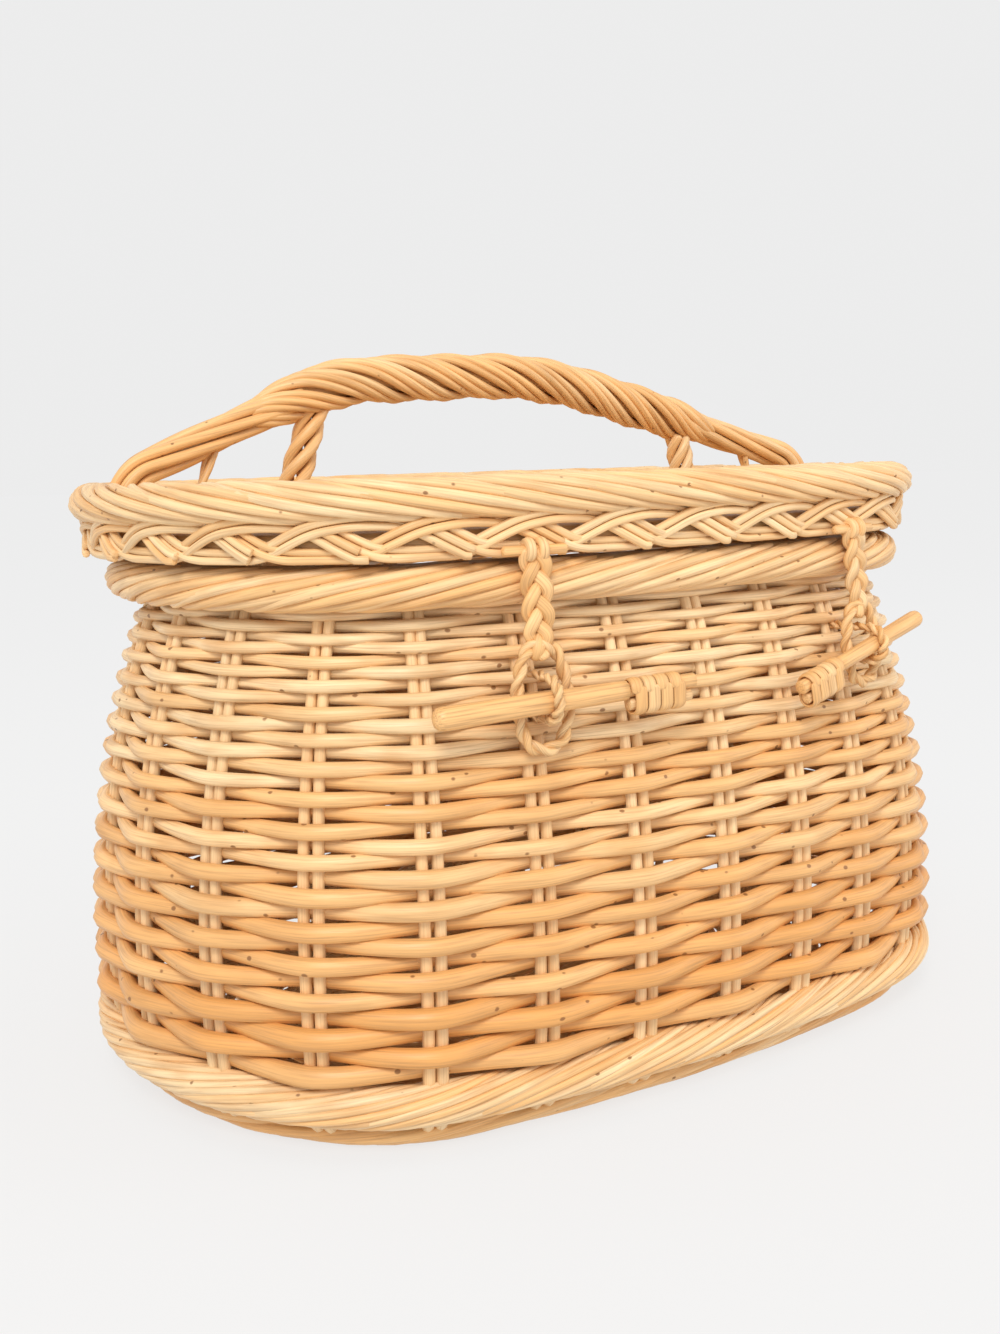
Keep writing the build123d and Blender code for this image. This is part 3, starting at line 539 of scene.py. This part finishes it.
def handle():
    travel, line = bow_line()
    path = np.stack([line[:, 0], 0 * travel + LID_SHIFT, line[:, 1]], -1)
    x = line[:, 0]
    front = (0, -1, 0)
    thick = np.where((x > -118) & (x < 114), 6.0, 3.2)
    # The core's orange-tan colour is darkened by 0.8: painted shade where it shows between the rope's
    # strands.
    rods("handle_core_bow", 12).add(path, thick, front, shade(0.7) * 0.8)
    keep = (x > -126) & (x < 121)
    middle, along = path[keep], travel[keep]
    turn = 104.0
    for bunch in range(4):
        tone = 0.5 + RNG.uniform(-0.1, 0.1)
        for place in (-1, 0, 1):
            angle = 2 * np.pi * (bunch / 4 + along / turn) + place * 0.43
            rise = 8.15 + (0.75 if place == 0 else 0.0) + 0.25 * np.sin(along / 9 + bunch)
            ends = np.clip(np.minimum(along - along[0], along[-1] - along) / 26, 0, 1)
            strand, away = around(middle, angle, rise * (0.5 + 0.5 * ends ** 0.7), front)
            rods("handle_rope").add(strand, 1.9 * RNG.uniform(0.95, 1.05), away, shade(tone, 0.08))
    for name, low, high in (("left", -190, -104), ("right", 100, 190)):
        keep = (x > low) & (x < high) & (line[:, 1] > ROPE_BASE + 2)
        leg, along = path[keep], travel[keep]
        for index in range(6):
            angle = 2 * np.pi * index / 6 + along / 38
            strand, away = around(leg, angle, 5.0, front)
            radius = 2.4 * RNG.uniform(0.94, 1.05)
            rods("handle_" + name + "_leg_bundle").add(strand, radius, away, shade(0.55, 0.12))
    count = 4
    for name, foot, head in (("left", -116.0, -97.0), ("right", 107.0, 101.0)):
        node = "handle_" + name + "_inner_leg"
        peak = float(np.interp(head, x, line[:, 1])) - 7.5
        straight = prop(foot, head, peak, 40)
        spread = np.linspace(5.2, 3.8, 40)
        for index in range(count):
            angle = 2 * np.pi * (index / count + np.linspace(0, 1.15, 40))
            strand, away = around(straight, angle, spread, front)
            rods(node).add(strand, 2.5, away, shade(0.42))
    for name, foot, head in (("left", -157.0, -143.5), ("right", 154.0, 144.0)):
        node = "handle_" + name + "_side_rod"
        peak = float(np.interp(head, x, line[:, 1])) - 5.5
        twist(node, prop(foot, head, peak, 24), 2, 1.35, 1.5, 60, 0.5, front)


# ------------------------------------------------------------------ hasps, staples, pegs, hinges

JOINTS = {j["name"]: j for j in frame["joints"]}
CLOSURES = {
    "left": dict(hasp=74.0, eye=43.0, peg=4.3, reach=45.0, step=30.0, tail=29.0),
    "right": dict(hasp=67.0, eye=38.0, peg=3.6, reach=34.0, step=26.0, tail=25.0),
}
LEAN = math.radians(3.6)


def hasp_axes(side):
    """The hasp's pin, and the directions along the wall, out of it and up the leaning hasp."""
    hinge = JOINTS[side + "_hasp_swing"]
    pin = np.array(hinge["pos_m"]) / MM
    tangent = -np.array(hinge["axis"], float)
    outward = np.array([tangent[1], -tangent[0], 0.0])
    up = math.cos(LEAN) * np.array([0, 0, 1.0]) - math.sin(LEAN) * outward
    return pin, tangent, outward, up


def hasp(side):
    """Flat braid of three skeins looped round its pin, ending in an eye of two-strand twist."""
    spec = CLOSURES[side]
    pin, tangent, outward, up = hasp_axes(side)

    def local(a, b, c):
        """Points across, out and up from the hasp's pin."""
        a, b, c = np.broadcast_arrays(np.asarray(a, float), b, c)
        return pin + a[..., None] * tangent + b[..., None] * outward + c[..., None] * up

    length = spec["hasp"] - spec["eye"]
    drop = np.linspace(0.5, length + 7, 60)
    for index in range(3):
        phase = 2 * np.pi * (drop / 27.0 + index / 3)
        narrow = np.clip((length + 7 - drop) / 9, 0.45, 1)
        path = local(4.1 * np.sin(phase) * narrow, 1.35 * np.sin(2 * phase) + 0.15, -drop)
        rods(side + "_hasp_braid").add(path, 2.55, outward, shade(0.36), flat=0.62)
    ring = np.linspace(-0.9 * np.pi, 0.9 * np.pi, 26)
    for place in (-2.6, 2.6):
        path = local(place + 0 * ring, 2.7 * np.sin(ring), 2.7 * np.cos(ring) + 0.2)
        rods(side + "_hasp_braid").add(path, 2.0, tangent, shade(0.36))

    bend = EYE_HALF_WIDTH - EYE_WIRE
    half = spec["eye"] / 2 - EYE_WIRE - bend
    centre = -(spec["hasp"] - spec["eye"] / 2)
    t = np.linspace(0.5 * np.pi, 2.5 * np.pi, 90)
    across = bend * np.cos(t) * (1 - 0.14 * np.clip(np.sin(t), 0, 1))
    height = centre + half * np.clip(1.35 * np.sin(t), -1, 1) + bend * np.sin(t)
    twist(side + "_hasp_eye", local(across, 0.0, height), 2, 1.22, 1.5, 15.5, 0.4, outward)


def staple(side):
    """Bent loop of twist out of the wall and round the peg."""
    spec = CLOSURES[side]
    pin, tangent, outward, _ = hasp_axes(side)
    low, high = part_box(side + "_staple")
    z = (low.z + high.z) / 2 / MM
    bow = spec["peg"] + 0.8 + 2.4
    out = 2.1 + 3.1 + spec["peg"] - 1.0 + (0.25 if side == "left" else -0.1)
    inside = -15.0
    turn = np.linspace(np.pi / 2, -np.pi / 2, 18)[1:-1]
    reach = np.concatenate([np.linspace(inside, out, 8), out + bow * np.cos(turn),
                            np.linspace(out, inside, 8)])
    tall = np.concatenate([np.full(8, z + bow), z + bow * np.sin(turn), np.full(8, z - bow)])
    path = pin * np.array([1, 1, 0]) + reach[:, None] * outward + tall[:, None] * np.array([0, 0, 1.0])
    twist(side + "_staple", path, 2, 1.05, 1.3, 10, 0.38, tangent)


def peg(side):
    """Whittled peg with a short rod bound to its tail by four turns of skein."""
    spec = CLOSURES[side]
    _, _, outward, _ = hasp_axes(side)
    slide = np.array(JOINTS[side + "_peg_slide"]["axis"], float)
    slide /= np.linalg.norm(slide)
    low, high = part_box(side + "_peg")
    low, high = np.array(low) / MM, np.array(high) / MM
    tail_way = -slide if side == "left" else slide
    reach, step, tail, radius = spec["reach"], spec["step"], spec["tail"], spec["peg"]
    origin = (low + high) / 2 - tail_way * ((reach + step + tail) / 2 - reach)
    xs = np.concatenate([-reach + radius * np.array([0.02, 0.12, 0.35, 0.8]),
                         np.linspace(-reach + 2 * radius, step, 14),
                         [step + 0.1], np.linspace(step + 1, step + tail, 6)])
    rs = np.concatenate([radius * np.array([0.45, 0.72, 0.9, 1.0]),
                         np.linspace(radius, radius * 0.85, 14), [2.75], [PEG_TAIL_RADIUS] * 6])
    path = origin + xs[:, None] * tail_way
    rods(side + "_peg", 16).add(path, rs, (0, 0, 1), shade(0.55, 0), blunt=True)
    under = np.cross(tail_way, outward)
    under *= -np.sign(under[2])
    gap = PEG_TAIL_RADIUS + 2.3 + 0.25
    path = [origin + q * tail_way + under * gap for q in np.linspace(step + 1, step + tail - 2, 10)]
    rods(side + "_peg_splint", 12).add(path, SPLINT_RADIUS, outward, shade(0.5), blunt=True)
    t = np.linspace(0, 2 * np.pi, 40)
    grow = 2.95 + 0.7
    stretch = np.where(np.sin(t) < 0, -gap, 0) * np.clip(np.abs(np.sin(t)) * 3, 0, 1)
    ring_a = grow * np.cos(t)
    ring_b = -grow * np.sin(t) - stretch
    slant = (t / (2 * np.pi) - 0.5) * 1.6
    away = ring_a[:, None] * outward + (ring_b - gap / 2)[:, None] * under
    for index in range(4):
        x = step + 1.5 + 2.3 + index * 5.4
        path = (origin + (x + slant)[:, None] * tail_way
                + ring_a[:, None] * outward + ring_b[:, None] * under)
        rods(side + "_peg_binding", 10).add(path, 2.62, away, shade(0.5), flat=0.27)


def hinges():
    """Lashed loops and rods at the back, and the pins the hasps hang from."""
    for side in ("left", "right"):
        low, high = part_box(side + "_hinge_loop")
        centre = np.array((low + high) / 2) / MM
        t = np.linspace(0, 2 * np.pi, 60)
        turn = 3.6 + 0.3 + 2.2
        path = centre + np.stack([0 * t, turn * np.cos(t), turn * np.sin(t)], -1)
        twist(side + "_hinge_loop", path, 2, 0.95, 1.2, 2 * np.pi * turn / 3, 0.4, (1, 0, 0))
        low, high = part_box(side + "_hinge_rod")
        xs = np.linspace(low.x / MM, high.x / MM, 8)
        path = [(q, (low.y + high.y) / 2 / MM, (low.z + high.z) / 2 / MM) for q in xs]
        rods(side + "_hinge_rod", 12).add(path, 3.5, (0, 0, 1), shade(0.4), blunt=True)
        pin, tangent, _, _ = hasp_axes(side)
        path = [pin - tangent * q for q in np.linspace(-12, 12, 6)]
        rods(side + "_hasp_pin").add(path, 1.9, (0, 0, 1), shade(0.4))


# ------------------------------------------------------------------ materials

def willow(name, roughness, grain, knots, warmth):
    """Peeled willow: fine streaks along the rod, warm blotches and small dark knots over its tint."""
    material = bpy.data.materials.new(name)
    material.use_nodes = True
    tree = material.node_tree
    nodes, links = tree.nodes, tree.links
    shader = nodes["Principled BSDF"]

    def node(kind, **values):
        made = nodes.new(kind)
        for key, value in values.items():
            setattr(made, key, value)
        return made

    def maths(operation, a, b):
        made = node("ShaderNodeMath", operation=operation)
        for socket, value in zip(made.inputs, (a, b)):
            if isinstance(value, (int, float)):
                socket.default_value = value
            else:
                links.new(value, socket)
        return made.outputs[0]

    def texture(scale, kind="ShaderNodeTexNoise", detail=None):
        mapping = node("ShaderNodeMapping")
        mapping.inputs["Scale"].default_value = scale
        links.new(lay.outputs["Vector"], mapping.inputs["Vector"])
        made = node(kind)
        made.inputs["Scale"].default_value = 1.0
        if detail is not None:
            made.inputs["Detail"].default_value = detail
        links.new(mapping.outputs[0], made.inputs["Vector"])
        return made

    def above(value, limit):
        """How far a value is above a limit, or 0."""
        return maths("MAXIMUM", maths("SUBTRACT", value, limit), 0.0)

    def mix(factor, a, b):
        made = node("ShaderNodeMix", data_type="RGBA")
        for socket, value in ((made.inputs[0], factor), (made.inputs[6], a), (made.inputs[7], b)):
            if isinstance(value, (int, float, tuple)):
                socket.default_value = value
            else:
                links.new(value, socket)
        return made.outputs[2]

    tint = node("ShaderNodeAttribute", attribute_name="tint")
    lay = node("ShaderNodeAttribute", attribute_name="lay")
    streak = texture((45, 1500, 1500), detail=3.0).outputs[0]
    blotch = texture((38, 120, 120), detail=2.0).outputs[0]
    speck = texture((90, 115, 115), "ShaderNodeTexVoronoi").outputs["Distance"]
    warm = maths("MULTIPLY", above(blotch, 0.47), warmth)
    colour = mix(warm, tint.outputs["Color"], (0.66, 0.33, 0.11, 1))
    shadow = maths("MULTIPLY", above(0.56, streak), grain)
    colour = mix(shadow, colour, (0.36, 0.18, 0.07, 1))
    knot = maths("MINIMUM", maths("MULTIPLY", above(knots, speck), 20.0), 0.8)
    colour = mix(knot, colour, (0.20, 0.07, 0.015, 1))
    links.new(colour, shader.inputs["Base Color"])
    rough = maths("ADD", maths("MULTIPLY", blotch, 0.16), roughness)
    links.new(rough, shader.inputs["Roughness"])
    bump = node("ShaderNodeBump")
    bump.inputs["Strength"].default_value = 0.35
    bump.inputs["Distance"].default_value = 0.0005
    links.new(streak, bump.inputs["Height"])
    links.new(bump.outputs[0], shader.inputs["Normal"])
    return material


# roughness, depth of grain, size of knots and warmth of each material slot
FINISH = {
    "siding_willow": (0.36, 1.6, 0.115, 2.2),
    "stake_willow": (0.42, 1.2, 0.05, 0.8),
    "base_willow": (0.38, 1.6, 0.10, 2.0),
    "border_willow": (0.38, 1.5, 0.10, 1.6),
    "handle_willow": (0.34, 1.7, 0.08, 1.9),
    "skein_willow": (0.40, 2.0, 0.05, 1.4),
    "peg_wood": (0.36, 2.2, 0.05, 1.6),
}


def finish_parts():
    slots = {part["node"]: part["material_slot"] for part in RECORD["subparts"]}
    bodies = RECORD["behaviour"]["bodies"]
    body_of = {n: b for b, members in bodies.items() for n in members}
    made = {name: willow(name, *values) for name, values in FINISH.items()}
    for name, part in PARTS.items():
        piece = part.build(name + "_rods", made[slots[name]])
        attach(piece, body_of[name])
        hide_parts(name)


# ------------------------------------------------------------------ camera, light, floor

LENS = 37.75844
LENS_SHIFT = -0.1136582
SENSOR = 36
CAMERA_DISTANCE = 642.95
CAMERA_RIGHT = -7.38
CAMERA_HEIGHT = 241.35
FLOOR_RADIUS = 20.0


def camera():
    azimuth, pitch, roll = math.radians(-32.38), math.radians(2.03), math.radians(-1.55)
    back = Vector((math.sin(azimuth), -math.cos(azimuth), 0))
    right = Vector((math.cos(azimuth), math.sin(azimuth), 0))
    forward = -back * math.cos(pitch) - Vector((0, 0, 1)) * math.sin(pitch)
    up = right.cross(forward)
    side = right * math.cos(roll) + up * math.sin(roll)
    top = -right * math.sin(roll) + up * math.cos(roll)
    place = back * CAMERA_DISTANCE + right * CAMERA_RIGHT
    place.z = CAMERA_HEIGHT
    data = bpy.data.cameras.new("camera")
    data.lens = LENS
    data.sensor_width = SENSOR
    data.shift_y = LENS_SHIFT
    eye = bpy.data.objects.new("camera", data)
    turn = Matrix((side, top, -forward)).transposed().to_4x4()
    eye.matrix_world = Matrix.Translation(place * MM) @ turn
    bpy.context.scene.collection.objects.link(eye)
    bpy.context.scene.camera = eye


def lamp(name, place, size, power):
    """Round soft lamp that points at the basket."""
    data = bpy.data.lights.new(name, "AREA")
    data.shape = "DISK"
    data.size = size
    data.energy = power
    data.color = (1.0, 0.98, 0.95)
    light = bpy.data.objects.new(name, data)
    light.location = place
    aim = Vector((0, 0, 0.12)) - Vector(place)
    light.rotation_euler = aim.to_track_quat("-Z", "Y").to_euler()
    bpy.context.scene.collection.objects.link(light)


def studio():
    mesh = bpy.data.meshes.new("floor")
    count = 96
    turns = [2 * math.pi * i / count for i in range(count)]
    ring = [(FLOOR_RADIUS * math.cos(a), FLOOR_RADIUS * math.sin(a), 0) for a in turns]
    mesh.from_pydata(ring, [], [list(range(count))])
    floor = bpy.data.objects.new("floor", mesh)
    bpy.context.scene.collection.objects.link(floor)
    paper = bpy.data.materials.new("paper")
    paper.use_nodes = True
    shader = paper.node_tree.nodes["Principled BSDF"]
    shader.inputs["Base Color"].default_value = (0.14, 0.14, 0.14, 1)
    shader.inputs["Roughness"].default_value = 0.9
    shader.inputs["Specular IOR Level"].default_value = 0.0
    shader.inputs["Emission Color"].default_value = (1, 1, 1, 1)
    shader.inputs["Emission Strength"].default_value = 0.730
    mesh.materials.append(paper)
    world = bpy.data.worlds.new("studio")
    world.use_nodes = True
    background = world.node_tree.nodes["Background"]
    background.inputs["Color"].default_value = (0.86, 0.86, 0.86, 1)
    background.inputs["Strength"].default_value = 0.98
    bpy.context.scene.world = world
    lamp("key", (-1.2, -1.5, 1.7), 0.9, 34)
    lamp("fill", (1.6, -1.3, 0.9), 1.4, 9)


siding()
stakes()
borders()
panel("lid_weave", "lid_cross_sticks", "lid_long_sticks", -10.5, PANEL_BASE, PANEL_TOP, LID_SHIFT,
      7, 30.0, 4.0, (-15.0, 15.0), 2.8, 0.25)
panel("base_weave", "base_cross_sticks", "base_long_sticks", -22.0, BASE_LIFT, BASE_TOP, 0.0,
      9, 30.0, 4.5, (-22.0, 0.0, 22.0), 3.0, 0.45)
handle()
for hand in ("left", "right"):
    hasp(hand)
    staple(hand)
    peg(hand)
hinges()
finish_parts()
camera()
studio()
bpy.context.scene.view_settings.view_transform = "Standard"
